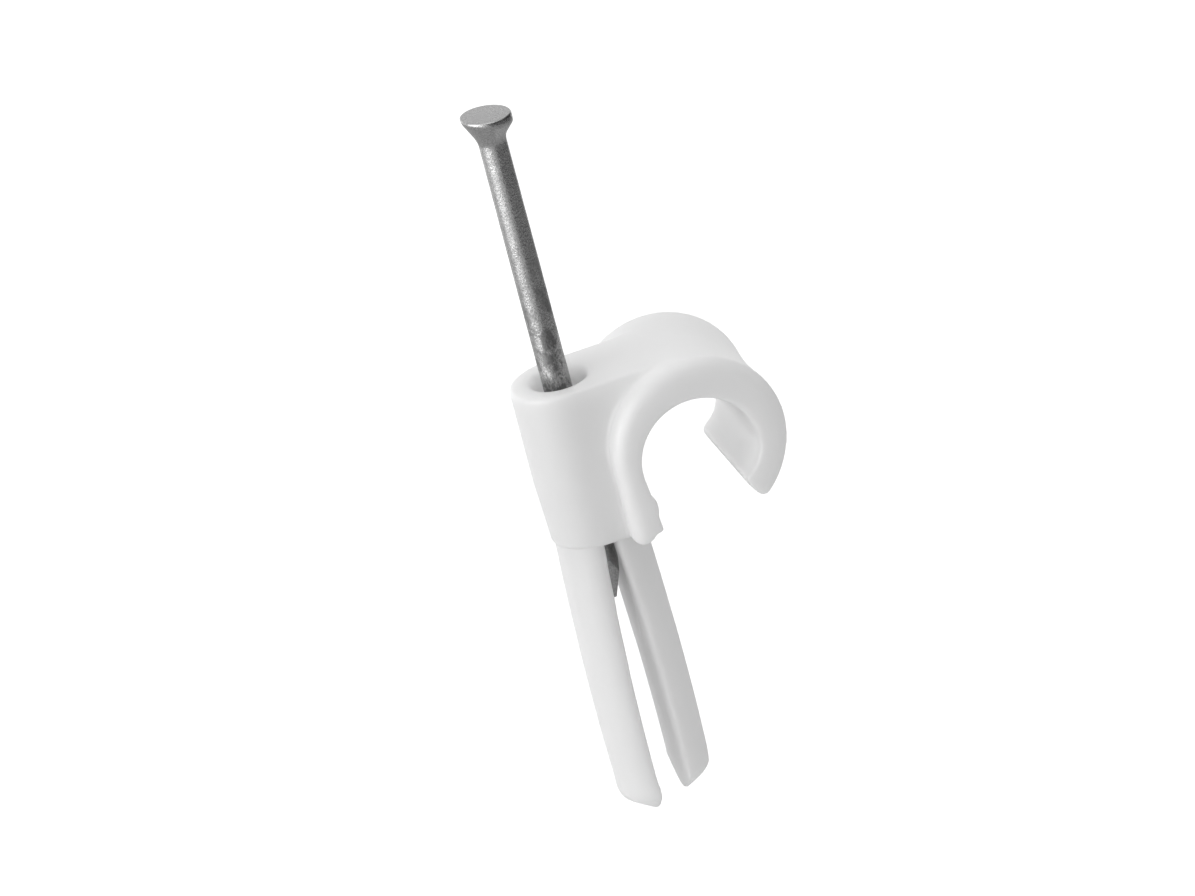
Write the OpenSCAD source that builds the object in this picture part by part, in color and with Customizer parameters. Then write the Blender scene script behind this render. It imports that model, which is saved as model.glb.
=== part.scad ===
// Nail-in cable clip: a white moulded hook with a split wall plug, and the steel nail that
// runs down through both. Sizes are in millimetres. +Z follows the nail from the plug's tip
// to the nail's head, +X points from the nail to the hook, and the cable runs along Y.
// The origin is where the axis of the boss and plug crosses the wall's surface.

/* [Cable hook] */
// Diameter of the seat that holds the cable
seat_d = 7.7; // [6:0.1:9]
// Height of the seat's underside above the wall, so that a cable isn't crushed
seat_gap = 0.75; // [0.2:0.05:1.2]
// Length of the hook along the cable
hook_w = 10.4; // [8:0.2:14]
// Wall of the hook at its crown
crown_t = 2.4; // [1.8:0.05:3]
// Wall of the hook at its free arm
arm_t = 1.92; // [1.5:0.02:2.4]
// Amount by which the arm's outside is flatter, in radius, than the rest of the hook
arm_flat = 0.6; // [0:0.1:1.2]
// Wall of the hook beside the boss
root_t = 1.45; // [1.2:0.05:1.7]
// Distance from the boss's axis to the hook's flank
flank_x = 1.35; // [1.3:0.05:2]
// Height by which both rims of the hook stand proud of its waist
rim_proud = 0.3; // [0.1:0.05:0.4]
// Rounding of the rims on the outside of the hook
rim_r = 1.1; // [0.4:0.05:1.2]
// Rounding of the rims round the cable's seat
seat_rim_r = 0.35; // [0.2:0.05:0.6]
// Amount by which the arm's inside is tighter, in radius, than the rest of the seat
grip_in = 1.25; // [0.2:0.05:1.3]
// Angle below the horizontal, seen from the seat's middle, at which the free arm's end starts
arm_end_angle = 48; // [35:1:55]
// Steepness of the free arm's end face, below the horizontal
arm_end_slope = 59; // [50:1:70]
// Rounding of the inner corner of the free arm's end
arm_end_r = 0.5; // [0.2:0.05:0.6]
// Rounding of the arm's tip, which is the outer corner of its end
arm_tip_r = 0.7; // [0.3:0.05:0.9]

/* [Foot of the hook] */
// Angle by which the foot's inside leans under the cable
foot_lean = 5; // [1:0.5:6]
// Height of the bead that keeps the cable in
bead_z = 2.25; // [1.8:0.05:2.8]
// Amount by which the bead stands out of the foot's inside
bead_h = 0.22; // [0.1:0.02:0.4]
// Radius of the bead's face
bead_r = 1.1; // [0.8:0.1:1.6]
// Rounding of the heel, on which the foot rests at the boss's side
heel_r = 0.75; // [0.5:0.05:0.9]
// Height of the toe's underside above the wall, at the toe's tip
toe_z = 0.6; // [0.3:0.05:0.8]
// Angle by which the toe's underside rises to its tip
toe_slope = 8; // [0:1:20]
// Rounding of the foot's bottom edges at the two ends of the hook
foot_end_r = 0.5; // [0.2:0.05:0.8]

/* [Boss] */
// Radius of the round end of the boss
boss_r = 3.28; // [3.2:0.02:3.6]
// Height at which the boss starts to taper towards the wall
draft_z = 4.3; // [3:0.1:6]
// Amount by which the boss has narrowed where it meets the wall
draft_in = 0.2; // [0:0.01:0.2]
// Rounding of the boss's top edge
boss_edge_r = 0.2; // [0.1:0.05:0.5]
// Diameter of the countersink's mouth
sink_d = 3.8; // [3.4:0.1:4.2]
// Depth of the countersink
sink_h = 1.9; // [1.2:0.1:2.6]
// Rounding of the countersink's edge
sink_edge_r = 0.45; // [0.1:0.05:0.6]
// Diameter of the bore that guides the nail
bore_d = 2.3; // [2.1:0.05:2.6]
// Depth in the plug at which the bore starts to narrow
bore_depth = 6; // [5:0.5:8]

/* [Wall plug] */
// Diameter of the wall plug, a push fit in the drilled hole
plug_d = 5.9; // [5.4:0.05:6]
// Length of the plug below the boss
plug_l = 19.7; // [16:0.1:26]
// Outward bow of each leg of the plug
leg_bow = 0.29; // [0.1:0.01:0.4]
// Depth at which the legs bow out most
bow_depth = 11; // [9:0.5:14]
// Width of the slot where it leaves the boss
slot_root_w = 0.6; // [0.4:0.05:0.9]
// Width of the slot where it is widest
slot_w = 1.84; // [1.4:0.02:2.2]
// Depth at which the slot is widest
slot_depth = 15.4; // [12:0.2:16]
// Slope of the conical point that the two legs share
tip_angle = 37; // [30:1:55]
// Rounding between the point and the flanks of the legs
tip_r = 0.5; // [0.2:0.05:0.7]
// Amount by which the leg under the hook ends short of the other
hook_leg_short = 0.7; // [0:0.05:0.8]

/* [Nail] */
// Diameter of the nail's shank
nail_d = 1.86; // [1.6:0.02:2]
// Length of the nail
nail_l = 34.3; // [30:0.1:40]
// Height of the nail's head above the boss
nail_out = 18.7; // [14:0.05:22]
// Diameter of the nail's head
head_d = 3.3; // [2.8:0.1:3.6]
// Thickness of the head's rim
rim_h = 0.4; // [0.2:0.05:0.6]
// Height of the cone under the head's rim
cone_h = 1.4; // [1:0.1:2]
// Rounding of the head's edge
head_edge_r = 0.12; // [0.05:0.01:0.15]
// Angle by which the head was struck askew
head_tilt = 5; // [0:1:8]
// Length of the nail's four-sided point
point_l = 2.8; // [2:0.1:4]
// Width of the point's blunt end
point_w = 0.5; // [0.3:0.05:0.8]
// Gap left where the nail lies against the side of its bore
nail_gap = 0.03; // [0.02:0.01:0.1]

/* [Hidden] */
$fn = 96;

// Fragments in a full turn of the arcs whose radius is many times the part's own size
long_fn = 1440;

// Overshoot of a cutter past the face that it opens, and of one solid into its neighbour
over = 1;

// Depth to which the seat's round cutter crosses the straight one that carries its side on
lap = 0.02;

seat_r = seat_d / 2;
seat_x = flank_x + root_t + seat_r;
seat_z = seat_r + seat_gap;

// The hook's outside is a larger circle, set off so that the crown, arm and root get their walls.
hook_r = seat_r + (arm_t + root_t) / 2;
hook_x = seat_x + (arm_t - root_t) / 2;
hook_z = seat_z + crown_t - (hook_r - seat_r);
rim_max_r = hook_r + rim_proud;

// The foot's parts: middle of the heel's rounding, inside at the bead's height, top of the foot
heel_x = flank_x - rim_proud + heel_r;
bead_x = foot_inside(bead_z);
foot_h = bead_z + bead_r;

// Centres and radii of the free arm's two arcs
arm_r = hook_r + arm_flat;
arm_centre = [hook_x - arm_flat, hook_z];
grip_r = seat_r - grip_in;
grip_centre = [seat_x + grip_in, seat_z];

// Where the arm's end face starts on its inside, seen from the seat's middle, and where it runs
end_start = (grip_in * cos(arm_end_angle) + sqrt(pow(grip_r, 2) - pow(grip_in * sin(arm_end_angle), 2)))
    * [cos(arm_end_angle), -sin(arm_end_angle)];
end_way = [cos(arm_end_slope), -sin(arm_end_slope)];

// Angle to which the cutter for the arm's inside runs, which is past the arm's end at any setting
grip_cut_end = -120;

boss_h = hook_z + hook_r;
bore_r = bore_d / 2;
plug_r = plug_d / 2;
nail_x = nail_d / 2 + nail_gap - bore_r;

// Radius of the circle that rises by rise over the length run
function arc_r(rise, run) = (run * run + rise * rise) / (2 * rise);

waist_arc_r = arc_r(rim_proud, hook_w / 2);
leg_arc_r = arc_r(leg_bow, bow_depth);
slot_arc_r = arc_r((slot_w - slot_root_w) / 2, slot_depth);

// Distance from the boss's axis to the leaning inside of the foot, at a height above the wall
function foot_inside(height) = seat_x + (seat_z - height) * tan(foot_lean) - (seat_r - lap) / cos(foot_lean);

// Distances from the plug's axis to a leg's flank and to its slot face, at a depth below the boss
function flank(depth) = plug_r + leg_bow - pow(depth - bow_depth, 2) / (2 * leg_arc_r);
function slot_face(depth) = slot_w / 2 - pow(depth - slot_depth, 2) / (2 * slot_arc_r);

clip();
nail();

module clip() {
    color("whitesmoke") difference() {
        union() {
            hook_and_boss();
            plug();
        }
        nail_bore();
    }
}

module nail() {
    color("darkgray") translate([nail_x, 0, boss_h + nail_out - nail_l]) {
        shank();
        translate([0, 0, nail_l]) nail_head();
    }
}

// Turns a drawing of the side, X across and Z up, into a slab of the given length along Y.
module along_y(length) {
    rotate([90, 0, 0]) linear_extrude(length, center = true) children();
}

// Sweeps a half section round an axis along Y, from one angle above the horizontal to another.
module swept(centre, from, to) {
    translate([centre[0], 0, centre[1]]) rotate([90, 0, 0]) rotate([0, 0, from])
        rotate_extrude(angle = to - from) children();
}

// What has to be cut off a corner at the origin, whose sides run to -X and -Y, to round it.
module corner_waste(r) {
    translate([-r, -r]) difference() {
        square(r + over);
        circle(r);
    }
}

// The same waste at both ends of a section that is w long, at the distance x from its axis.
module end_waste(x, w, r) {
    for (side = [0, 1]) mirror([0, side]) translate([x, w / 2]) corner_waste(r);
}

// Everything above the wall's surface.
module hook_and_boss() {
    difference() {
        union() {
            hook_blank();
            foot_blank();
            web();
            boss();
        }
        cable_seat();
        along_y(hook_w + 2 * over) mouth();
        along_y(hook_w + 2 * over) toe_waste();
    }
    bead();
}

// Half the band's section: distance from its axis across, length of the cable up.
module hook_section(r) {
    difference() {
        translate([0, -hook_w / 2]) square([r + rim_proud, hook_w]);
        translate([r + waist_arc_r, 0]) circle(waist_arc_r, $fn = long_fn);
        end_waste(r + rim_proud, hook_w, rim_r);
    }
}

// The band with proud, rounded rims: over the crown, down the free arm and down beside the boss.
module hook_blank() {
    swept([hook_x, hook_z], 0, 180) hook_section(hook_r);
    swept(arm_centre, 0, -90) hook_section(arm_r);
    translate([hook_x, 0, foot_h]) mirror([1, 0, 0]) linear_extrude(hook_z - foot_h) hook_section(hook_r);
}

// Half the section of the cutter for the seat, flared at both ends to round the rims.
module seat_section(r) {
    difference() {
        translate([0, -hook_w / 2 - over]) square([r + seat_rim_r, hook_w + 2 * over]);
        for (side = [0, 1]) mirror([0, side]) {
            translate([r, 0]) square([seat_rim_r + over, hook_w / 2 - seat_rim_r]);
            translate([r + seat_rim_r, hook_w / 2 - seat_rim_r]) circle(seat_rim_r);
        }
    }
}

// The cutter for the cable: round, tighter inside the free arm, straight and leaning at the foot.
module cable_seat() {
    lean_l = (seat_z + over) / cos(foot_lean);
    crossing = acos(1 - lap / seat_r);
    swept([seat_x, seat_z], 0, 180 + foot_lean + 2 * crossing) seat_section(seat_r);
    swept(grip_centre, 0, grip_cut_end) seat_section(grip_r);
    translate([seat_x, 0, seat_z]) rotate([0, -foot_lean, 0]) translate([lap, 0, -lean_l])
        mirror([1, 0, 0]) linear_extrude(lean_l) seat_section(seat_r);
}

// Everything below the seat, from its middle to the end face of the free arm.
module mouth() {
    end_far = end_start + 2 * rim_max_r * end_way;
    translate([seat_x, seat_z]) polygon([
        [-seat_r / 2, 0], [grip_in, grip_in], end_start - over * end_way, end_far, [-seat_r / 2, end_far[1]]
    ]);
    arm_end_waste(arm_centre, rim_proud + arm_r, arm_tip_r, 1);
    arm_end_waste(grip_centre, grip_r, arm_end_r, -1);
}

// Waste at the corner where the arm's end face meets one of its arcs, to round the corner by r.
// The arm lies on the inside of the arc (1) or on its outside (-1).
module arm_end_waste(centre, arc, r, way) {
    square_on = [-end_way[1], end_way[0]];
    reach = arc - way * r;
    start = [seat_x, seat_z] + end_start - centre + r * square_on;
    across = start * end_way;
    middle = start + (sqrt(across * across - start * start + reach * reach) - across) * end_way;
    below = middle - (r + over) * square_on;
    out = 2 * over * way * middle / norm(middle);
    along = 2 * over * way * end_way;
    translate(centre) difference() {
        polygon([middle, below, below + along, middle + along + out, middle + out]);
        translate(middle) circle(r);
    }
}

// The foot of the hook before its inside is cut, seen from three sides: the heel from the end,
// the band's own outline from above, and rounded bottom corners from the nail.
module foot_blank() {
    intersection() {
        along_y(hook_w) foot_side();
        linear_extrude(foot_h) translate([hook_x, 0]) mirror([1, 0]) hook_section(hook_r);
        rotate([90, 0, 90]) linear_extrude(hook_x) foot_face();
    }
}

module foot_side() {
    translate([heel_x, heel_r]) circle(heel_r);
    translate([heel_x - heel_r, heel_r]) square([hook_x, foot_h - heel_r]);
    translate([heel_x, 0]) square([hook_x, foot_h]);
}

module foot_face() {
    difference() {
        translate([-hook_w / 2, 0]) square([hook_w, foot_h]);
        for (side = [0, 1])
            mirror([side, 0]) translate([hook_w / 2, 0]) mirror([0, 1]) corner_waste(foot_end_r);
    }
}

// What lies under the toe, from the heel's rounding on, so that the toe is clear of the wall.
module toe_waste() {
    toe_x = foot_inside(toe_z);
    rise = tan(toe_slope);
    difference() {
        polygon([
            [heel_x, -over], [heel_x, toe_z - (toe_x - heel_x) * rise],
            [hook_x, toe_z + (hook_x - toe_x) * rise], [hook_x, -over]
        ]);
        translate([heel_x, heel_r]) circle(heel_r);
    }
}

// The bead, which keeps the cable in. It ends in the roundings of the rims.
module bead() {
    intersection() {
        along_y(hook_w) intersection() {
            translate([bead_x + bead_h - bead_r, bead_z]) circle(bead_r);
            translate([bead_x - 2 * seat_rim_r, 0]) square([hook_x, foot_h]);
        }
        linear_extrude(foot_h) difference() {
            translate([bead_x - 2 * seat_rim_r, -hook_w / 2]) square([2 * seat_rim_r + bead_h, hook_w]);
            end_waste(bead_x + bead_h, hook_w, seat_rim_r + bead_h);
        }
    }
}

// The flat-topped web that joins the boss to the hook, up to the hook's crown.
module web() {
    rotate([90, 0, 90]) linear_extrude(hook_x) difference() {
        polygon([
            [boss_r - draft_in, 0], [boss_r, draft_z], [boss_r, boss_h],
            [-boss_r, boss_h], [-boss_r, draft_z], [draft_in - boss_r, 0]
        ]);
        for (side = [0, 1]) mirror([side, 0]) translate([boss_r, boss_h]) corner_waste(boss_edge_r);
    }
}

module boss() {
    rotate_extrude() difference() {
        polygon([[0, 0], [boss_r - draft_in, 0], [boss_r, draft_z], [boss_r, boss_h], [0, boss_h]]);
        translate([boss_r, boss_h]) corner_waste(boss_edge_r);
    }
}

// Countersink, nail bore and the half-round grooves that the bore leaves in the legs.
module nail_bore() {
    translate([0, 0, boss_h]) rotate_extrude() sink_section();
    translate([0, 0, -bore_depth]) cylinder(h = boss_h + bore_depth, r = bore_r);
    translate([0, 0, -2 * bore_depth]) cylinder(h = bore_depth, r1 = slot_w / 4, r2 = bore_r);
}

// Half the section of the cutter for the countersink, whose edge is rounded.
module sink_section() {
    slant = atan2(sink_d / 2 - bore_r, sink_h);
    edge = sink_edge_r * tan(45 - slant / 2);
    middle = [sink_d / 2 + edge, -sink_edge_r];
    difference() {
        polygon([
            [0, over], [middle[0], over], middle, middle - sink_edge_r * [cos(slant), -sin(slant)],
            [bore_r, -sink_h], [0, -sink_h]
        ]);
        translate(middle) circle(sink_edge_r);
    }
}

// The plug: two half-round legs that grow out of the boss, either side of the slot.
module plug() {
    leg(plug_l - hook_leg_short);
    mirror([1, 0, 0]) leg(plug_l);
}

module leg(length) {
    intersection() {
        difference() {
            bowed_bar();
            slot_side();
        }
        rotate_extrude() tip_section(length);
    }
}

// A half circle swept round a distant axis, so that the bar bows outwards on its way down.
module bowed_bar() {
    start = -asin((plug_l + over - bow_depth) / leg_arc_r);
    end = asin((bow_depth + over) / leg_arc_r);
    translate([leg_bow - leg_arc_r, 0, -bow_depth]) rotate([90, 0, 0]) rotate([0, 0, start])
        rotate_extrude(angle = end - start, $fn = long_fn) translate([leg_arc_r, 0]) intersection() {
            circle(plug_r);
            translate([0, -plug_r]) square([plug_r, plug_d]);
        }
}

// One side of the slot is a large cylinder, so that the slot widens fast at first.
module slot_side() {
    translate([slot_w / 2 - slot_arc_r, 0, -slot_depth]) rotate([90, 0, 0])
        cylinder(h = 2 * plug_d, r = slot_arc_r, center = true, $fn = long_fn);
}

// Half the section of the point: a cone that meets the slot face at the leg's full length, and
// a rounding that leads from the cone into the flank.
module tip_section(length) {
    apex = length + slot_face(length) * tan(tip_angle);
    flank_end = length - tip_r - tan(tip_angle) * plug_r / 2;
    out = flank(flank_end);
    middle = [out - tip_r, (out - tip_r) * tan(tip_angle) + tip_r / cos(tip_angle) - apex];
    polygon([
        [0, -apex], middle + tip_r * [sin(tip_angle), -cos(tip_angle)], middle, middle + [tip_r + over, 0],
        [middle[0] + tip_r + over, 2 * over], [0, 2 * over]
    ]);
    translate(middle) circle(tip_r);
}

// The shank, brought to four flat faces at its point.
module shank() {
    intersection() {
        cylinder(h = nail_l - rim_h, r = nail_d / 2);
        along_y(nail_d) point_outline();
        rotate([0, 0, 90]) along_y(nail_d) point_outline();
    }
}

module point_outline() {
    polygon([
        [-point_w / 2, 0], [point_w / 2, 0], [nail_d / 2, point_l], [nail_d / 2, nail_l],
        [-nail_d / 2, nail_l], [-nail_d / 2, point_l]
    ]);
}

// The countersunk head, struck a little askew. Its cone runs on to a point inside the shank.
module nail_head() {
    cone_l = cone_h * head_d / (head_d - nail_d);
    rotate([0, head_tilt, 0]) rotate_extrude() difference() {
        polygon([[0, 0], [head_d / 2, 0], [head_d / 2, -rim_h], [0, -rim_h - cone_l]]);
        translate([head_d / 2, 0]) corner_waste(head_edge_r);
    }
}
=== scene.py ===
"""Nail-in cable clip: moulding, steel nail and a white studio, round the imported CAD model."""

import math

import bmesh
import bpy
from bpy.props import FloatProperty, FloatVectorProperty, IntProperty, PointerProperty
from bpy.types import Operator, Panel, PropertyGroup
from mathutils import Matrix, Vector, noise


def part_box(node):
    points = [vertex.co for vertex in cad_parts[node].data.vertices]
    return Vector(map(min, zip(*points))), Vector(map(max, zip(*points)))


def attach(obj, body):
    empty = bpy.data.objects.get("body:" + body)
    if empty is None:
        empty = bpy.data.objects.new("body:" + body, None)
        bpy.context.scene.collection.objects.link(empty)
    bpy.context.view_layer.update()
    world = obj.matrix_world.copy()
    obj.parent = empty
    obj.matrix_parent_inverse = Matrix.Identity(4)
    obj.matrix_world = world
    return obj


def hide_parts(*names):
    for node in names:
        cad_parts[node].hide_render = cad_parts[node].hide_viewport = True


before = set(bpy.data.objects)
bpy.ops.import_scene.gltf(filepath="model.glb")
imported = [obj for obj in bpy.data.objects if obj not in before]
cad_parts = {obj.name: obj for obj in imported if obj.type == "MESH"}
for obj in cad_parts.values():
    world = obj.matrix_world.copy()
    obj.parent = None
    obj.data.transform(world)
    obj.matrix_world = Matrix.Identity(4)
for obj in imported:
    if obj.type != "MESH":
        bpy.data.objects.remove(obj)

bl_info = {
    "name": "Nail-in cable clip",
    "version": (1, 0, 0),
    "blender": (4, 5, 0),
    "location": "View3D > Sidebar > Cable clip",
    "description": "Makes the moulded clip, its nail and a white studio",
    "category": "Add Mesh",
}

MM = 0.001
MERGE_DISTANCE = 1e-7

# Distance of the cuts between boss and plug from the boss's lower face, on either side of it
SHOULDER_CUT = 0.02 * MM
# The foot and the free arm's tip lie below this height, and to the right of these distances
ENDS_TOP = 3.4 * MM
FOOT_START = 1.6 * MM
ARM_TIP_START = 8 * MM
# The tips of the plug's legs lie below this height
LEG_TIPS_TOP = -17.2 * MM

# The nail's faces round its axis, in a rounded edge, and along the wire
WIRE_SEGMENTS = 96
ROUNDING_SEGMENTS = 6
WIRE_CUTS = 110
# Before it is cut, only the edges along the wire are longer than this
WIRE_EDGE = 10 * MM
# Going down the nail, the dark patches come in between these two heights
PATCHES_TOP, PATCHES_FULL = 21 * MM, 13 * MM
# They go out again, inside the boss, between these two
PATCHES_FADE, PATCHES_LOW = 8 * MM, 2 * MM

# Faces that meet at a larger angle than this are shaded with a sharp edge between them
CLIP_SHARP_ANGLE = math.radians(50)
NAIL_SHARP_ANGLE = math.radians(30)

# Width of the camera's sensor, in millimetres
SENSOR_WIDTH = 36.0
# The studio's lengths are in metres: how far the floor reaches, and how far down it lies
FLOOR_REACH = 3
FLOOR_DEPTH = 0.15
# The dark screen's radius and depth, the angle from the camera to where it starts, and its turn
SCREEN_RADIUS = 0.3
SCREEN_DEPTH = 0.1
SCREEN_START = math.radians(4)
SCREEN_TURN = math.radians(140)
# The lamps' distance, and each lamp's name, power setting, direction, width and height
LAMP_DISTANCE = 0.5
LAMPS = (
    ("side_lamp", "side_light", (-0.95, -0.10, 0.05), 0.30, 0.50),
    ("strip_lamp", "strip_light", (-0.88, -0.48, 0.10), 0.42, 0.60),
    ("back_lamp", "back_light", (-0.45, 0.88, 0.15), 0.40, 0.50),
    ("front_lamp", "front_light", (-0.50, -0.85, 0.15), 0.40, 0.50),
    ("top_lamp", "top_light", (-0.15, 0.05, 1), 0.50, 0.50),
)

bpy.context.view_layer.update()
clip_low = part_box("clip")[0]
nail_low, nail_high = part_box("nail")


def linear(hex_code):
    """Turns an sRGB colour such as "#f2f2f0" into the linear colour that a shader takes."""
    values = [int(hex_code[i:i + 2], 16) / 255 for i in (1, 3, 5)]
    return [v / 12.92 if v <= 0.04045 else ((v + 0.055) / 1.055) ** 2.4 for v in values]


def rgba(colour):
    """Adds the alpha that a colour socket asks for."""
    return [*colour, 1.0]


def per_mm(size):
    """Scale at which a texture on Object coordinates repeats about every size millimetres."""
    return 1 / (size * MM)


class MouldingSettings(PropertyGroup):
    mesh_size: FloatProperty(
        name="Mesh size",
        description="Edge of the small even faces that carry the hook's soft edges",
        default=0.12 * MM, min=0.1 * MM, precision=5, subtype="DISTANCE", unit="LENGTH")
    foot_passes: IntProperty(
        name="Foot passes", description="Smoothing passes on the foot, whose edges stay small",
        default=3, min=1, max=20)
    soft_passes: IntProperty(
        name="Soft passes", description="Further passes on the rest, which round its edges",
        default=4, min=1, max=40)
    arm_passes: IntProperty(
        name="Arm passes", description="Further passes on the free arm's tip, which is rounder",
        default=14, min=1, max=40)
    plug_mesh_size: FloatProperty(
        name="Plug mesh size",
        description="Edge of the even faces of the plug, whose legs are well rounded",
        default=0.2 * MM, min=0.1 * MM, precision=5, subtype="DISTANCE", unit="LENGTH")
    tip_passes: IntProperty(
        name="Tip passes", description="Smoothing passes on the tips of the plug's legs",
        default=10, min=1, max=80)
    plug_passes: IntProperty(
        name="Plug passes", description="Further passes on the rest of the plug",
        default=22, min=1, max=80)
    plug_depth: FloatProperty(
        name="Plug depth", description="Depth to which the plug reaches into the boss",
        default=1.0 * MM, precision=5, subtype="DISTANCE", unit="LENGTH")
    colour: FloatVectorProperty(
        name="Plastic", description="Colour of the plastic", size=3, subtype="COLOR",
        default=linear("#f1f1f1"), min=0, max=1)
    roughness: FloatProperty(
        name="Roughness", description="Roughness of the satin moulded face",
        default=0.42, min=0, max=1, subtype="FACTOR")


class NailSettings(PropertyGroup):
    shank_radius: FloatProperty(
        name="Shank radius", description="Radius of the drawn wire",
        default=0.93 * MM, precision=5, subtype="DISTANCE", unit="LENGTH")
    head_radius: FloatProperty(
        name="Head radius", description="Radius of the head's rim",
        default=1.65 * MM, precision=5, subtype="DISTANCE", unit="LENGTH")
    rim_height: FloatProperty(
        name="Rim height", description="Height of the head's rim at the middle",
        default=0.45 * MM, precision=5, subtype="DISTANCE", unit="LENGTH")
    cone_height: FloatProperty(
        name="Cone height", description="Height of the cone under the rim",
        default=1.15 * MM, precision=5, subtype="DISTANCE", unit="LENGTH")
    head_tilt: FloatProperty(
        name="Head tilt", description="Angle by which the struck face leans",
        default=math.radians(5), subtype="ANGLE", unit="ROTATION")
    rim_tilt: FloatProperty(
        name="Rim tilt", description="Angle by which the rim's lower edge leans",
        default=math.radians(12), subtype="ANGLE", unit="ROTATION")
    point_length: FloatProperty(
        name="Point length", description="Length of the four cut faces of the point",
        default=2.8 * MM, precision=5, subtype="DISTANCE", unit="LENGTH")
    point_width: FloatProperty(
        name="Point width", description="Width of the point's blunt end",
        default=0.35 * MM, precision=5, subtype="DISTANCE", unit="LENGTH")
    neck_rounding: FloatProperty(
        name="Neck rounding", description="Width of the rounded edge between wire and cone",
        default=0.35 * MM, precision=5, subtype="DISTANCE", unit="LENGTH")
    rim_rounding: FloatProperty(
        name="Rim rounding", description="Width of the rounded lower edge of the rim",
        default=0.18 * MM, precision=5, subtype="DISTANCE", unit="LENGTH")
    face_rounding: FloatProperty(
        name="Face rounding", description="Width of the rounded edge of the struck face",
        default=0.12 * MM, precision=5, subtype="DISTANCE", unit="LENGTH")
    dent_depth: FloatProperty(
        name="Dent depth", description="Depth of the dents that tumbling leaves in the wire",
        default=0.012 * MM, precision=6, subtype="DISTANCE", unit="LENGTH")
    dent_size: FloatProperty(
        name="Dent size", description="Distance from dent to dent",
        default=0.9 * MM, precision=5, subtype="DISTANCE", unit="LENGTH")
    colour: FloatVectorProperty(
        name="Steel", description="Colour of the dull steel", size=3, subtype="COLOR",
        default=linear("#a1a1a1"), min=0, max=1)


class StudioSettings(PropertyGroup):
    azimuth: FloatProperty(
        name="Azimuth",
        description="Camera's angle round the clip, from straight in front of the hook",
        default=math.radians(-10.6), subtype="ANGLE", unit="ROTATION")
    elevation: FloatProperty(
        name="Elevation", description="Camera's angle above the horizontal",
        default=math.radians(22.88), subtype="ANGLE", unit="ROTATION")
    roll: FloatProperty(
        name="Roll", description="Angle by which the clip leans to the left in the picture",
        default=math.radians(14.89), subtype="ANGLE", unit="ROTATION")
    distance: FloatProperty(
        name="Distance", description="Distance from the camera to the clip",
        default=2.0, subtype="DISTANCE", unit="LENGTH")
    view_width: FloatProperty(
        name="View width", description="Width of the picture at the clip",
        default=75.94 * MM, precision=5, subtype="DISTANCE", unit="LENGTH")
    aim_right: FloatProperty(
        name="Aim right", description="Middle of the picture, to the right of the clip's origin",
        default=1.234 * MM, precision=5, subtype="DISTANCE", unit="LENGTH")
    aim_up: FloatProperty(
        name="Aim up", description="Middle of the picture, above the clip's origin",
        default=5.0 * MM, precision=5, subtype="DISTANCE", unit="LENGTH")
    room_light: FloatProperty(
        name="Room light", description="Strength of the even light from all round",
        default=0.56, min=0)
    side_light: FloatProperty(
        name="Side light", description="Watts of the tall soft lamp on the left",
        default=0.76, min=0)
    strip_light: FloatProperty(
        name="Strip light", description="Watts of the lamp on the left that only gloss shows",
        default=2.6, min=0)
    front_light: FloatProperty(
        name="Front light", description="Watts of the soft lamp in front on the left",
        default=0.05, min=0)
    back_light: FloatProperty(
        name="Back light", description="Watts of the soft lamp behind the clip",
        default=0.40, min=0)
    top_light: FloatProperty(
        name="Top light", description="Watts of the soft lamp overhead",
        default=0.75, min=0)


def mesh_object(name, bm):
    """Makes an object of a bmesh, at the origin."""
    mesh = bpy.data.meshes.new(name)
    bm.to_mesh(mesh)
    bm.free()
    piece = bpy.data.objects.new(name, mesh)
    bpy.context.scene.collection.objects.link(piece)
    return piece


def apply_modifiers(piece):
    """Puts the result of the piece's modifiers into its mesh."""
    evaluated = piece.evaluated_get(bpy.context.evaluated_depsgraph_get())
    rough_mesh, mesh = piece.data, bpy.data.meshes.new_from_object(evaluated)
    piece.modifiers.clear()
    piece.data = mesh
    bpy.data.meshes.remove(rough_mesh)
    mesh.name = piece.name


def finish_piece(piece, node, material):
    """Gives a piece its material, and puts it in the place of its CAD node."""
    piece.data.materials.clear()
    piece.data.materials.append(material)
    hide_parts(node)
    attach(piece, "root")


def level_edges(bm, height):
    """The edges that lie level at a height."""
    return [e for e in bm.edges if all(abs(v.co.z - height) < MERGE_DISTANCE for v in e.verts)]


def add_node(tree, kind, inputs=None, **settings):
    """Adds a node with its settings. An input is either a value or another node's output."""
    node = tree.nodes.new(kind)
    for name, value in settings.items():
        setattr(node, name, value)
    for name, value in (inputs or {}).items():
        if isinstance(value, bpy.types.NodeSocket):
            tree.links.new(value, node.inputs[name])
        else:
            node.inputs[name].default_value = value
    return node


def new_material(name):
    """An empty node material, its tree and its output node."""
    material = bpy.data.materials.new(name)
    material.use_nodes = True
    tree = material.node_tree
    tree.nodes.clear()
    return material, tree, add_node(tree, "ShaderNodeOutputMaterial")


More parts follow.
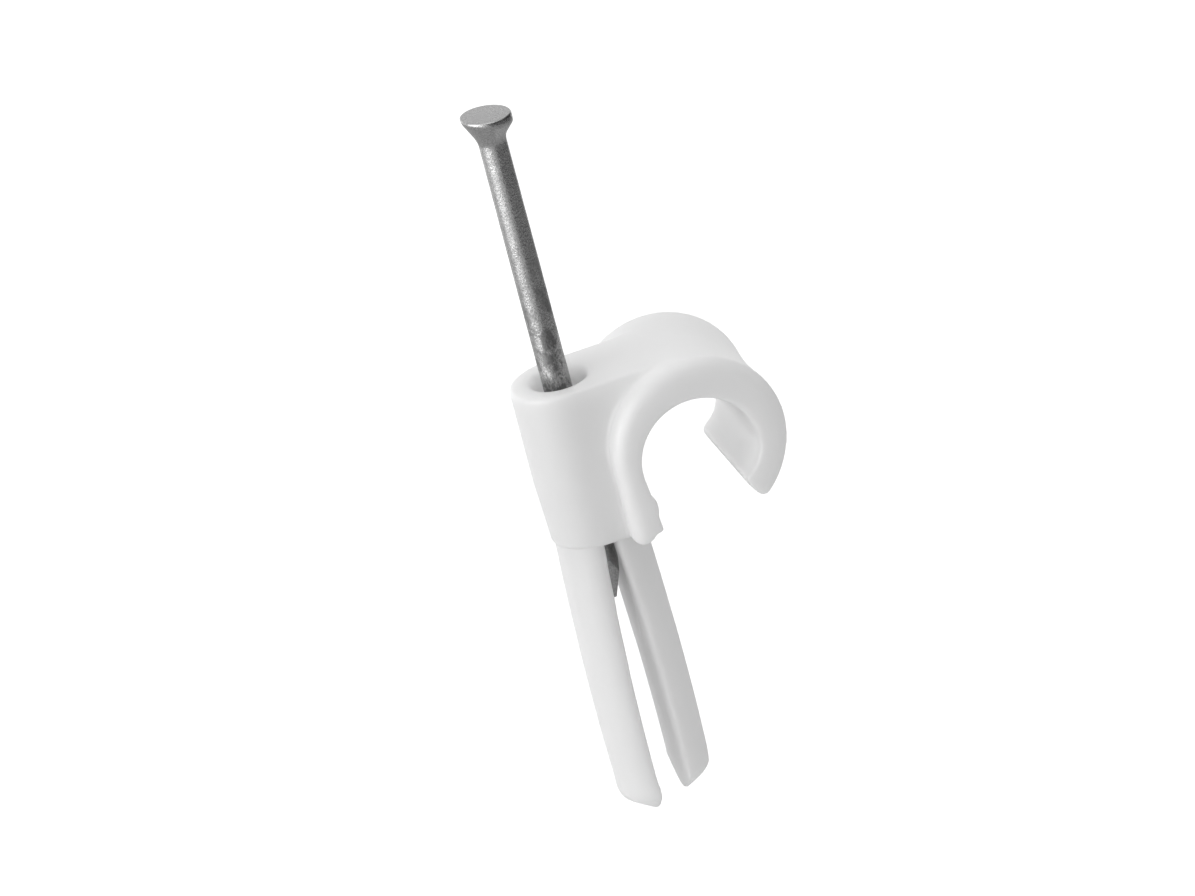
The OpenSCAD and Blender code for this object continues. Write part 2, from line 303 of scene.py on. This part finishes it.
def moulded_polypropylene(settings):
    """White polypropylene from a satin mould: a little translucent, with softly lit edges."""
    material, tree, output = new_material("moulded_polypropylene")
    place = add_node(tree, "ShaderNodeTexCoord").outputs["Object"]
    # The mould's grain is finer than this, and is drawn as coarse as it needs to show
    grain = add_node(tree, "ShaderNodeTexNoise",
                     {"Vector": place, "Scale": per_mm(0.12), "Detail": 3.0, "Roughness": 0.6})
    flow = add_node(tree, "ShaderNodeTexNoise",
                    {"Vector": place, "Scale": per_mm(4), "Detail": 2.0, "Roughness": 0.5})
    tint = add_node(tree, "ShaderNodeMix",
                    {"Factor": flow.outputs["Fac"],
                     "A": rgba([v * 0.975 for v in settings.colour]),
                     "B": rgba(settings.colour)}, data_type="RGBA")
    gloss = add_node(tree, "ShaderNodeMapRange",
                     {"Value": flow.outputs["Fac"],
                      "To Min": settings.roughness - 0.05, "To Max": settings.roughness + 0.05})
    relief = add_node(tree, "ShaderNodeBump",
                      {"Height": grain.outputs["Fac"], "Strength": 0.25, "Distance": 0.004 * MM})
    skin = add_node(tree, "ShaderNodeBsdfPrincipled",
                    {"Base Color": tint.outputs["Result"], "Roughness": gloss.outputs["Result"],
                     "IOR": 1.49, "Normal": relief.outputs["Normal"],
                     "Subsurface Weight": 1.0, "Subsurface Radius": (1.0, 1.0, 1.0),
                     "Subsurface Scale": 2.5 * MM})
    tree.links.new(skin.outputs["BSDF"], output.inputs["Surface"])
    return material


def dull_steel_wire(settings):
    """Drawn steel wire, tumbled after heading: grey, finely pitted, with dull patches low down."""
    material, tree, output = new_material("dull_steel_wire")
    place = add_node(tree, "ShaderNodeTexCoord").outputs["Object"]
    drawn = add_node(tree, "ShaderNodeMapping", {"Vector": place, "Scale": (1, 1, 0.6)})
    # The real pits are finer than this, and are drawn as coarse as they need to show
    pits = add_node(tree, "ShaderNodeTexNoise",
                    {"Vector": drawn.outputs["Vector"], "Scale": per_mm(0.09),
                     "Detail": 2.0, "Roughness": 0.6})
    patches = add_node(tree, "ShaderNodeTexNoise",
                       {"Vector": drawn.outputs["Vector"], "Scale": per_mm(0.8),
                        "Detail": 6.0, "Roughness": 0.7})
    dark = add_node(tree, "ShaderNodeMapRange",
                    {"Value": patches.outputs["Fac"], "From Min": 0.46, "From Max": 0.55})
    height = add_node(tree, "ShaderNodeSeparateXYZ", {"Vector": place}).outputs["Z"]
    below = add_node(tree, "ShaderNodeMapRange",
                     {"Value": height, "From Min": PATCHES_TOP, "From Max": PATCHES_FULL})
    above = add_node(tree, "ShaderNodeMapRange",
                     {"Value": height, "From Min": PATCHES_LOW, "From Max": PATCHES_FADE})
    stretch = add_node(tree, "ShaderNodeMath",
                       {0: below.outputs["Result"], 1: above.outputs["Result"]},
                       operation="MINIMUM")
    worn = add_node(tree, "ShaderNodeMath",
                    {0: dark.outputs["Result"], 1: stretch.outputs["Value"]},
                    operation="MULTIPLY")
    grain = add_node(tree, "ShaderNodeMapRange",
                     {"Value": pits.outputs["Fac"], "From Min": 0.35, "From Max": 0.65,
                      "To Min": 0.8, "To Max": 1.15})
    tint = add_node(tree, "ShaderNodeMix",
                    {"Factor": worn.outputs["Value"], "A": rgba(settings.colour),
                     "B": rgba([v * 0.45 for v in settings.colour])}, data_type="RGBA")
    steel = add_node(tree, "ShaderNodeVectorMath",
                     {0: tint.outputs["Result"], "Scale": grain.outputs["Result"]},
                     operation="SCALE")
    polish = add_node(tree, "ShaderNodeMapRange",
                      {"Value": worn.outputs["Value"], "To Min": 0.26, "To Max": 0.45})
    coarse = add_node(tree, "ShaderNodeBump",
                      {"Height": patches.outputs["Fac"], "Strength": 0.35, "Distance": 0.05 * MM})
    relief = add_node(tree, "ShaderNodeBump",
                      {"Height": pits.outputs["Fac"], "Strength": 0.55, "Distance": 0.03 * MM,
                       "Normal": coarse.outputs["Normal"]})
    metal = add_node(tree, "ShaderNodeBsdfPrincipled",
                     {"Base Color": steel.outputs["Vector"], "Metallic": 1.0,
                      "Roughness": polish.outputs["Result"], "Normal": relief.outputs["Normal"]})
    tree.links.new(metal.outputs["BSDF"], output.inputs["Surface"])
    return material


def white_floor():
    """Plain white floor. Rays that see the background see it a little lit, as white as the room."""
    material, tree, output = new_material("white_floor")
    matt = add_node(tree, "ShaderNodeBsdfDiffuse", {"Color": rgba(linear("#e6e6e6"))})
    glow = add_node(tree, "ShaderNodeEmission",
                    {"Color": rgba(linear("#ffffff")), "Strength": 0.6})
    lit = add_node(tree, "ShaderNodeAddShader")
    tree.links.new(matt.outputs["BSDF"], lit.inputs[0])
    tree.links.new(glow.outputs["Emission"], lit.inputs[1])
    seen = add_node(tree, "ShaderNodeMixShader", {"Fac": background_rays(tree)})
    tree.links.new(matt.outputs["BSDF"], seen.inputs[1])
    tree.links.new(lit.outputs["Shader"], seen.inputs[2])
    tree.links.new(seen.outputs["Shader"], output.inputs["Surface"])
    return material


def felt(name, colour):
    """Felt, quite without gloss."""
    material, tree, output = new_material(name)
    matt = add_node(tree, "ShaderNodeBsdfDiffuse", {"Color": rgba(colour)})
    tree.links.new(matt.outputs["BSDF"], output.inputs["Surface"])
    return material


def background_rays(tree):
    """1 for the rays that see the background: from the camera, off gloss, and through glass."""
    rays = add_node(tree, "ShaderNodeLightPath").outputs
    seen = rays["Is Camera Ray"]
    for kind in ("Is Glossy Ray", "Is Transmission Ray"):
        either = add_node(tree, "ShaderNodeMath", {0: seen, 1: rays[kind]}, operation="MAXIMUM")
        seen = either.outputs["Value"]
    return seen


class CABLECLIP_OT_moulding(Operator):
    """Remake the clip with the soft edges of a moulding"""
    bl_idname = "cableclip.moulding"
    bl_label = "Moulded clip"

    def execute(self, context):
        settings = context.scene.cable_clip_moulding
        piece = self.soft_head(settings)
        plug = self.soft_plug(settings)
        join = piece.modifiers.new("join", "BOOLEAN")
        join.operation = "UNION"
        join.solver = "MANIFOLD"
        join.object = plug
        apply_modifiers(piece)
        bpy.data.meshes.remove(plug.data)
        piece.data.shade_smooth()
        piece.data.set_sharp_from_angle(angle=CLIP_SHARP_ANGLE)
        finish_piece(piece, "clip", moulded_polypropylene(settings))
        return {"FINISHED"}

    def cut_clip(self, height, **kept):
        """A merged copy of the CAD clip, cut level at a height, and the edges of the cut."""
        bm = bmesh.new()
        bm.from_mesh(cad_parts["clip"].data)
        bmesh.ops.remove_doubles(bm, verts=bm.verts, dist=MERGE_DISTANCE)
        bmesh.ops.bisect_plane(bm, geom=[*bm.verts, *bm.edges, *bm.faces],
                               dist=MERGE_DISTANCE,
                               plane_co=(0, 0, height), plane_no=(0, 0, 1), **kept)
        return bm, [e for e in bm.edges if e.is_boundary]

    def even_faces(self, name, bm, cut, size):
        """Closes the cut and remakes the solid of small even faces."""
        bmesh.ops.triangle_fill(bm, edges=cut, use_beauty=True)
        bmesh.ops.recalc_face_normals(bm, faces=bm.faces)
        piece = mesh_object(name, bm)
        remesh = piece.modifiers.new("even_faces", "REMESH")
        remesh.mode = "VOXEL"
        remesh.voxel_size = size
        apply_modifiers(piece)
        bm = bmesh.new()
        bm.from_mesh(piece.data)
        return piece, bm

    def soften(self, bm, verts, passes):
        """Rounds the edges near these vertices a little more with each pass."""
        for _ in range(passes):
            bmesh.ops.smooth_vert(bm, verts=verts, factor=0.5,
                                  use_axis_x=True, use_axis_y=True, use_axis_z=True)

    def soft_head(self, settings):
        """Hook, web and boss with rounded edges: the foot's least, and the free arm's tip most."""
        bm, cut = self.cut_clip(SHOULDER_CUT, clear_inner=True)
        piece, bm = self.even_faces("clip_moulding", bm, cut, settings.mesh_size)
        self.soften(bm, bm.verts, settings.foot_passes)
        rest = [v for v in bm.verts if v.co.z > ENDS_TOP or v.co.x < FOOT_START]
        self.soften(bm, rest, settings.soft_passes)
        arm_tip = [v for v in bm.verts if v.co.z < ENDS_TOP and v.co.x > ARM_TIP_START]
        self.soften(bm, arm_tip, settings.arm_passes)
        bm.to_mesh(piece.data)
        bm.free()
        return piece

    def soft_plug(self, settings):
        """The two legs with rounded edges, carried up into the boss."""
        bm, cut = self.cut_clip(-SHOULDER_CUT, clear_outer=True)
        made = bmesh.ops.extrude_edge_only(bm, edges=cut)["geom"]
        verts = [g for g in made if isinstance(g, bmesh.types.BMVert)]
        edges = [g for g in made if isinstance(g, bmesh.types.BMEdge)]
        bmesh.ops.translate(bm, verts=verts, vec=(0, 0, settings.plug_depth))
        piece, bm = self.even_faces("plug", bm, edges, settings.plug_mesh_size)
        self.soften(bm, bm.verts, settings.tip_passes)
        legs = [v for v in bm.verts if v.co.z > LEG_TIPS_TOP]
        self.soften(bm, legs, settings.plug_passes)
        bm.to_mesh(piece.data)
        bm.free()
        return piece


class CABLECLIP_OT_nail(Operator):
    """Make the steel nail: wire, four-sided point and a head struck a little askew"""
    bl_idname = "cableclip.nail"
    bl_label = "Steel nail"

    def execute(self, context):
        settings = context.scene.cable_clip_nail
        top = nail_high.z - settings.head_radius * math.sin(settings.head_tilt)
        rim_low = top - settings.rim_height
        neck = rim_low - settings.cone_height
        bm = self.straight_nail(settings, neck, rim_low, top)
        self.dent(bm, settings, neck)
        self.lean_head(bm, settings, neck, rim_low, top)
        self.cut_point(bm, settings)
        bmesh.ops.translate(bm, verts=bm.verts, vec=((nail_low.x + nail_high.x) / 2, 0, 0))
        bmesh.ops.recalc_face_normals(bm, faces=bm.faces)
        piece = mesh_object("steel_nail", bm)
        piece.data.shade_smooth()
        piece.data.set_sharp_from_angle(angle=NAIL_SHARP_ANGLE)
        finish_piece(piece, "nail", dull_steel_wire(settings))
        return {"FINISHED"}

    def straight_nail(self, settings, neck, rim_low, top):
        """Wire, cone and rim round the Z axis, still even and without a point."""
        radius = settings.shank_radius
        bm = bmesh.new()
        ring = bmesh.ops.create_circle(bm, cap_ends=True, radius=radius, segments=WIRE_SEGMENTS)
        bmesh.ops.translate(bm, verts=ring["verts"], vec=(0, 0, nail_low.z))
        edges = level_edges(bm, nail_low.z)
        for height, scale in ((neck, 1), (rim_low, settings.head_radius / radius), (top, 1)):
            made = bmesh.ops.extrude_edge_only(bm, edges=edges)["geom"]
            verts = [g for g in made if isinstance(g, bmesh.types.BMVert)]
            edges = [g for g in made if isinstance(g, bmesh.types.BMEdge)]
            rise = height - verts[0].co.z
            bmesh.ops.translate(bm, verts=verts, vec=(0, 0, rise))
            bmesh.ops.scale(bm, verts=verts, vec=(scale, scale, 1))
        bmesh.ops.holes_fill(bm, edges=edges)
        bmesh.ops.recalc_face_normals(bm, faces=bm.faces)
        for height, width in ((neck, settings.neck_rounding), (rim_low, settings.rim_rounding),
                              (top, settings.face_rounding)):
            bmesh.ops.bevel(bm, geom=level_edges(bm, height), offset=width,
                            segments=ROUNDING_SEGMENTS, affect="EDGES", profile=0.5, material=-1)
        wire_edges = [e for e in bm.edges if e.calc_length() > WIRE_EDGE]
        bmesh.ops.subdivide_edges(bm, edges=wire_edges, cuts=WIRE_CUTS, use_grid_fill=True)
        return bm

    def dent(self, bm, settings, neck):
        """Presses shallow uneven dents into the wire."""
        for vert in bm.verts:
            if vert.co.z < neck:
                out = Vector((vert.co.x, vert.co.y, 0)).normalized()
                depth = 0.5 + 0.5 * noise.noise(vert.co / settings.dent_size)
                vert.co -= out * settings.dent_depth * depth

    def lean_head(self, bm, settings, neck, rim_low, top):
        """Leans the struck face a little and the rim's lower edge more, so the rim is uneven."""
        rim_lean, face_lean = math.tan(settings.rim_tilt), math.tan(settings.head_tilt)
        for vert in bm.verts:
            height = vert.co.z
            if height > rim_low:
                share = min((height - rim_low) / (top - rim_low), 1)
                vert.co.z -= vert.co.x * (rim_lean + share * (face_lean - rim_lean))
            elif height > neck:
                vert.co.z -= vert.co.x * rim_lean * (height - neck) / (rim_low - neck)

    def cut_point(self, bm, settings):
        """Cuts the four flat faces of the point, and closes each cut."""
        run = settings.shank_radius - settings.point_width / 2
        slope = math.atan2(run, settings.point_length)
        for turn in range(4):
            spin = Matrix.Rotation(turn * math.pi / 2, 3, "Z")
            normal = spin @ Vector((math.cos(slope), 0, -math.sin(slope)))
            corner = spin @ Vector((settings.point_width / 2, 0, nail_low.z))
            bmesh.ops.bisect_plane(bm, geom=[*bm.verts, *bm.edges, *bm.faces],
                                   dist=MERGE_DISTANCE / 10,
                                   plane_co=corner, plane_no=normal, clear_outer=True)
            bmesh.ops.holes_fill(bm, edges=[e for e in bm.edges if e.is_boundary])


class CABLECLIP_OT_studio(Operator):
    """Set up the white floor, the room, the lamps and the camera"""
    bl_idname = "cableclip.studio"
    bl_label = "White studio"

    def execute(self, context):
        settings = context.scene.cable_clip_studio
        right, up, back = self.camera_axes(settings)
        self.add_camera(context, settings, right, up, back)
        self.add_room(context, settings)
        self.add_floor()
        self.add_dark_screen(settings)
        for name, light, way, width, height in LAMPS:
            lamp = self.add_lamp(name, Vector(way).normalized(), width, height)
            lamp.data.energy = getattr(settings, light)
            lamp.visible_diffuse = name != "strip_lamp"
        context.scene.view_settings.view_transform = "Standard"
        return {"FINISHED"}

    def camera_axes(self, settings):
        """Right, up and backward directions of a level camera."""
        level = math.cos(settings.elevation)
        back = Vector((math.sin(settings.azimuth) * level, -math.cos(settings.azimuth) * level,
                       math.sin(settings.elevation)))
        right = Vector((math.cos(settings.azimuth), math.sin(settings.azimuth), 0))
        return right, back.cross(right), back

    def add_camera(self, context, settings, right, up, back):
        """A camera that aims at the middle of the picture, rolled so that the clip leans."""
        aim = right * settings.aim_right + up * settings.aim_up
        lens = bpy.data.cameras.new("camera")
        lens.sensor_width = SENSOR_WIDTH
        lens.lens = SENSOR_WIDTH * settings.distance / settings.view_width
        lens.clip_start = 0.01
        camera = bpy.data.objects.new("camera", lens)
        turn, lean = math.cos(settings.roll), math.sin(settings.roll)
        axes = Matrix((right * turn - up * lean, right * lean + up * turn, back)).transposed()
        camera.matrix_world = Matrix.Translation(aim + back * settings.distance) @ axes.to_4x4()
        context.scene.collection.objects.link(camera)
        context.scene.camera = camera

    def add_room(self, context, settings):
        """Even light from all round, and plain white where the background shows."""
        world = bpy.data.worlds.new("white_room")
        world.use_nodes = True
        tree = world.node_tree
        tree.nodes.clear()
        light = add_node(tree, "ShaderNodeBackground",
                         {"Color": rgba(linear("#ffffff")), "Strength": settings.room_light})
        white = add_node(tree, "ShaderNodeBackground",
                         {"Color": rgba(linear("#ffffff")), "Strength": 1.0})
        mixed = add_node(tree, "ShaderNodeMixShader", {"Fac": background_rays(tree)})
        tree.links.new(light.outputs["Background"], mixed.inputs[1])
        tree.links.new(white.outputs["Background"], mixed.inputs[2])
        output = add_node(tree, "ShaderNodeOutputWorld")
        tree.links.new(mixed.outputs["Shader"], output.inputs["Surface"])
        context.scene.world = world

    def add_floor(self):
        """A wide floor, so far below that the clip's shadow stays soft and out of the picture."""
        bm = bmesh.new()
        bmesh.ops.create_grid(bm, x_segments=1, y_segments=1, size=FLOOR_REACH)
        bmesh.ops.translate(bm, verts=bm.verts, vec=(0, 0, -FLOOR_DEPTH))
        floor = mesh_object("floor", bm)
        floor.data.materials.append(white_floor())

    def add_dark_screen(self, settings):
        """A dark round screen on the right and a grey cloth below, which shade the steel.

        Only gloss shows them.
        """
        bm = bmesh.new()
        turn = Matrix.Rotation(settings.azimuth + SCREEN_START, 3, "Z")
        foot, head = (bm.verts.new(turn @ Vector((0, -SCREEN_RADIUS, up)))
                      for up in (-SCREEN_DEPTH, SCREEN_RADIUS))
        bmesh.ops.spin(bm, geom=[foot, head, bm.edges.new((foot, head))],
                       axis=(0, 0, 1), cent=(0, 0, 0), angle=SCREEN_TURN, steps=48)
        screen = mesh_object("dark_screen", bm)
        bm = bmesh.new()
        bmesh.ops.create_circle(bm, cap_ends=True, radius=SCREEN_RADIUS, segments=64)
        bmesh.ops.translate(bm, verts=bm.verts, vec=(0, 0, -SCREEN_DEPTH))
        cloth = mesh_object("grey_cloth", bm)
        for thing, colour in ((screen, "#6a6a6a"), (cloth, "#dcdcdc")):
            thing.data.materials.append(felt(thing.name + "_felt", linear(colour)))
            thing.visible_camera = thing.visible_diffuse = thing.visible_shadow = False
            thing.visible_transmission = thing.visible_volume_scatter = False

    def add_lamp(self, name, way, width, height):
        """A soft lamp turned to the middle of the clip."""
        light = bpy.data.lights.new(name, "AREA")
        light.shape = "RECTANGLE"
        light.size, light.size_y = width, height
        lamp = bpy.data.objects.new(name, light)
        middle = Vector((0, 0, (clip_low.z + nail_high.z) / 2))
        lamp.location = middle + way * LAMP_DISTANCE
        lamp.rotation_euler = way.to_track_quat("Z", "Y").to_euler()
        bpy.context.scene.collection.objects.link(lamp)
        return lamp


class CABLECLIP_PT_parts(Panel):
    """The clip's pieces and the studio, in the 3D view's sidebar"""
    bl_idname = "CABLECLIP_PT_parts"
    bl_label = "Cable clip"
    bl_space_type = "VIEW_3D"
    bl_region_type = "UI"
    bl_category = "Cable clip"

    def draw(self, context):
        scene = context.scene
        groups = (("cableclip.moulding", scene.cable_clip_moulding),
                  ("cableclip.nail", scene.cable_clip_nail),
                  ("cableclip.studio", scene.cable_clip_studio))
        for operator, settings in groups:
            box = self.layout.box()
            box.operator(operator)
            for name in settings.__annotations__:
                box.prop(settings, name)


CLASSES = (
    MouldingSettings, NailSettings, StudioSettings,
    CABLECLIP_OT_moulding, CABLECLIP_OT_nail, CABLECLIP_OT_studio, CABLECLIP_PT_parts,
)


def register():
    for cls in CLASSES:
        bpy.utils.register_class(cls)
    bpy.types.Scene.cable_clip_moulding = PointerProperty(type=MouldingSettings)
    bpy.types.Scene.cable_clip_nail = PointerProperty(type=NailSettings)
    bpy.types.Scene.cable_clip_studio = PointerProperty(type=StudioSettings)


def unregister():
    del bpy.types.Scene.cable_clip_moulding
    del bpy.types.Scene.cable_clip_nail
    del bpy.types.Scene.cable_clip_studio
    for cls in reversed(CLASSES):
        bpy.utils.unregister_class(cls)


def main():
    register()
    bpy.ops.cableclip.moulding()
    bpy.ops.cableclip.nail()
    bpy.ops.cableclip.studio()


if __name__ == "__main__":
    main()
